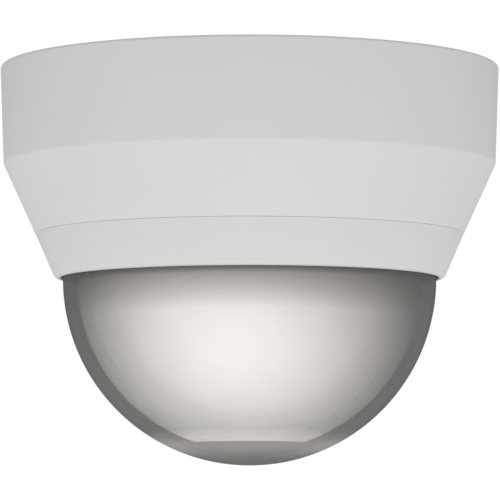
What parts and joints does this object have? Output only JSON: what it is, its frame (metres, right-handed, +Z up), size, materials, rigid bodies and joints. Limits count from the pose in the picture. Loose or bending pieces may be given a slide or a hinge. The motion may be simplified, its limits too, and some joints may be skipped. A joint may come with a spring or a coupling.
{
  "type": "dome camera",
  "caption": "Ceiling dome camera: white drafted cover with a smoked bubble, over a base with electronics and a pan, tilt and rotate camera head.",
  "frame": {"origin": "centre of the ceiling face, at the mouth of the cable hole", "axes": "+Z up into the ceiling, along the pan axis; +Y towards the cable knock-out, where the lens also points at rest; the camera hangs towards -Z"},
  "size_m": [0.145, 0.145, 0.1157],
  "materials": {
    "white_cover": "satin",
    "smoke_dome": "gloss, smoked, see-through",
    "light_plastic": "matte",
    "pale_liner": "satin",
    "dark_plastic": "matte",
    "rubber": "matte",
    "foam": "matte foam",
    "steel": "satin",
    "brass": "satin",
    "gold": "gloss",
    "alloy": "anodised",
    "board": "solder mask",
    "chip": "matte",
    "capacitor": "satin",
    "green_plastic": "satin",
    "ivory_plastic": "satin",
    "red_plastic": "satin",
    "nylon": "satin",
    "lens_glass": "coated"
  },
  "bodies": {
    "base": {"base_plate": "light_plastic", "ceiling_gasket": "foam", "chassis_frame": "light_plastic", "chassis_screws": "steel", "cover_clips": "steel", "clip_rivets": "steel", "board_standoffs": "brass", "main_board": "board", "board_screws": "steel", "network_socket": "steel", "socket_contacts": "gold", "power_terminal": "green_plastic", "terminal_screws": "steel", "heat_sink": "alloy", "board_chips": "chip", "board_capacitors": "capacitor", "flex_connector": "ivory_plastic", "reset_switch": "dark_plastic", "card_socket": "steel", "memory_card": "chip"},
    "button": {"reset_button": "red_plastic"},
    "pan": {"turntable": "dark_plastic", "pan_washer": "nylon", "pan_retainer": "steel", "pan_retainer_screws": "steel", "yoke_arm_left": "light_plastic", "yoke_arm_right": "light_plastic", "yoke_screws": "steel", "tilt_pins": "steel", "inner_liner": "pale_liner", "liner_screws": "steel"},
    "tilt": {"tilt_cradle": "dark_plastic"},
    "head": {"head_barrel": "dark_plastic", "head_retainer": "dark_plastic", "head_retainer_screws": "steel", "head_rear_cover": "dark_plastic", "sensor_board": "board", "sensor_connector": "ivory_plastic", "image_sensor": "chip", "lens_mount": "dark_plastic", "filter_housing": "dark_plastic", "lens_barrel": "dark_plastic", "front_lens": "lens_glass", "lens_front_ring": "dark_plastic"},
    "filter": {"filter_frame": "dark_plastic", "filter_glasses": "lens_glass"},
    "focus": {"focus_ring": "dark_plastic", "focus_lock_screw": "steel"},
    "focus_group": {"rear_lens": "lens_glass"},
    "zoom": {"zoom_ring": "dark_plastic", "zoom_lock_screw": "steel"},
    "zoom_group": {"middle_lens": "lens_glass"},
    "cover": {"cover_shell": "white_cover", "knockout_plug": "white_cover", "trim_ring": "white_cover", "trim_screws": "steel", "bubble_gasket": "rubber", "dome_bubble": "smoke_dome", "bubble_retainer": "dark_plastic", "retainer_screws": "steel"}
  },
  "joints": [
    {"name": "cover_off", "type": "slide", "parent": "base", "child": "cover", "axis": [0, 0, -1], "range_m": [0, 0.12]},
    {"name": "reset_press", "type": "slide", "parent": "base", "child": "button", "axis": [0, 0, 1], "range_m": [0, 0.0005], "stiffness_N_per_m": 400, "springref_m": -0.0005},
    {"name": "pan_turn", "type": "hinge", "parent": "base", "child": "pan", "pos_m": [0, 0, -0.0615], "axis": [0, 0, 1], "range_deg": [-175, 175]},
    {"name": "tilt_turn", "type": "hinge", "parent": "pan", "child": "tilt", "pos_m": [0, 0, -0.0615], "axis": [1, 0, 0], "range_deg": [-45, 40]},
    {"name": "head_turn", "type": "hinge", "parent": "tilt", "child": "head", "pos_m": [0, 0, -0.0615], "axis": [0, 0.7071, -0.7071], "range_deg": [-175, 175]},
    {"name": "filter_switch", "type": "slide", "parent": "head", "child": "filter", "axis": [1, 0, 0], "range_m": [-0.008, 0]},
    {"name": "focus_turn", "type": "hinge", "parent": "head", "child": "focus", "pos_m": [0, 0, -0.0615], "axis": [0, 0.7071, -0.7071], "range_deg": [-60, 60]},
    {"name": "focus_travel", "type": "slide", "parent": "head", "child": "focus_group", "axis": [0, 0.7071, -0.7071], "range_m": [-0.00094, 0.00094]},
    {"name": "zoom_turn", "type": "hinge", "parent": "head", "child": "zoom", "pos_m": [0, 0, -0.0615], "axis": [0, 0.7071, -0.7071], "range_deg": [-45, 45]},
    {"name": "zoom_travel", "type": "slide", "parent": "head", "child": "zoom_group", "axis": [0, 0.7071, -0.7071], "range_m": [-0.00196, 0.00196]}
  ],
  "couplings": [
    {"joint": "focus_turn", "follows": "focus_travel", "rad_per_m": 1114},
    {"joint": "zoom_turn", "follows": "zoom_travel", "rad_per_m": 400.7}
  ]
}
